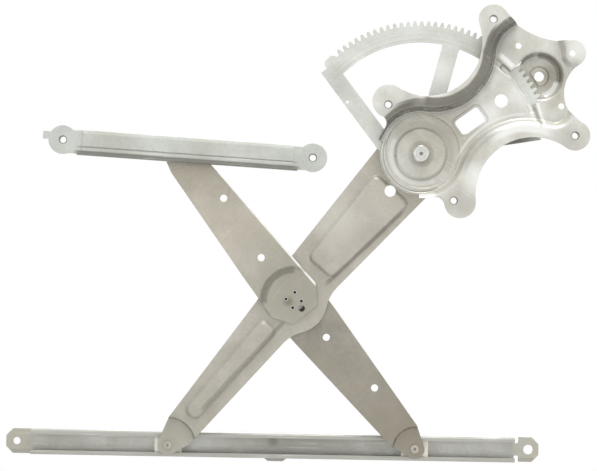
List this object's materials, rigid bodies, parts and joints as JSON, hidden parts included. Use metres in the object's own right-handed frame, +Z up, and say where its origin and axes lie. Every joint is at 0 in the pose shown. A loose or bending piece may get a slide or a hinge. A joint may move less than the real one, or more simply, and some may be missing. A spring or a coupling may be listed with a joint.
{
  "type": "window regulator",
  "caption": "X-arm window regulator: pressed base plate with pinion cup, toothed sector on a long lift arm, crossed slave arm, sliding shoes and two channel rails.",
  "frame": {"origin": "on the door panel's plane, midway between the base plate's upper and lower bolt holes", "axes": "+X to the right as seen from the cabin, along the lift rail; +Y into the door, away from the cabin; +Z up"},
  "size_m": [0.4646, 0.0346, 0.3702],
  "materials": {
    "zinc_plate": "satin zinc plating",
    "sector_steel": "satin zinc plating",
    "pin_steel": "turned steel",
    "nut_steel": "plated steel",
    "shoe_plastic": "moulded, matte",
    "bush_plastic": "moulded, matte"
  },
  "bodies": {
    "base": {"base_plate": "zinc_plate", "base_weld_nuts": "nut_steel", "main_pivot_pin": "pin_steel", "main_pivot_washer": "pin_steel"},
    "lift_arm": {"lift_arm": "zinc_plate", "sector_gear": "sector_steel", "sector_rivets": "pin_steel", "main_pivot_bush": "bush_plastic", "centre_bush": "bush_plastic", "left_shoe_stud": "pin_steel", "left_shoe_clip": "nut_steel"},
    "slave_arm": {"slave_arm_upper": "zinc_plate", "slave_arm_lower": "zinc_plate", "centre_hub": "pin_steel", "right_shoe_stud": "pin_steel", "right_shoe_clip": "nut_steel", "guide_shoe_stud": "pin_steel", "guide_shoe_clip": "nut_steel"},
    "left_shoe": {"left_shoe": "shoe_plastic"},
    "right_shoe": {"right_shoe": "shoe_plastic"},
    "guide_shoe": {"guide_shoe": "shoe_plastic"},
    "lift_rail": {"lift_rail": "zinc_plate", "lift_rail_bracket": "zinc_plate"},
    "guide_rail": {"guide_rail": "zinc_plate", "guide_rail_nuts": "nut_steel"}
  },
  "joints": [
    {"name": "lift", "type": "hinge", "parent": "base", "child": "lift_arm", "pos_m": [-0.04075, 0.015, -0.0353], "axis": [0, 1, 0], "range_deg": [0, 90]},
    {"name": "scissor", "type": "hinge", "parent": "lift_arm", "child": "slave_arm", "pos_m": [-0.14038, 0.016, -0.15404], "axis": [0, 1, 0], "range_deg": [-180, 0]},
    {"name": "left_shoe_turn", "type": "hinge", "parent": "lift_arm", "child": "left_shoe", "pos_m": [-0.24001, 0.028, -0.27277], "axis": [0, 1, 0], "range_deg": [-90, 0]},
    {"name": "right_shoe_turn", "type": "hinge", "parent": "slave_arm", "child": "right_shoe", "pos_m": [-0.04075, 0.028, -0.27277], "axis": [0, 1, 0], "range_deg": [0, 90]},
    {"name": "guide_shoe_turn", "type": "hinge", "parent": "slave_arm", "child": "guide_shoe", "pos_m": [-0.24001, 0.004, -0.0353], "axis": [0, 1, 0], "range_deg": [0, 90]},
    {"name": "lift_rail_slide", "type": "slide", "parent": "right_shoe", "child": "lift_rail", "axis": [1, 0, 0], "range_m": [-0.03, 0.03]},
    {"name": "guide_rail_slide", "type": "slide", "parent": "guide_shoe", "child": "guide_rail", "axis": [0.9985, 0, -0.055], "range_m": [-0.085, 0.06]}
  ],
  "couplings": [
    {"joint": "scissor", "follows": "lift", "ratio": -2},
    {"joint": "left_shoe_turn", "follows": "lift", "ratio": -1},
    {"joint": "right_shoe_turn", "follows": "lift", "ratio": 1},
    {"joint": "guide_shoe_turn", "follows": "lift", "ratio": 1}
  ]
}
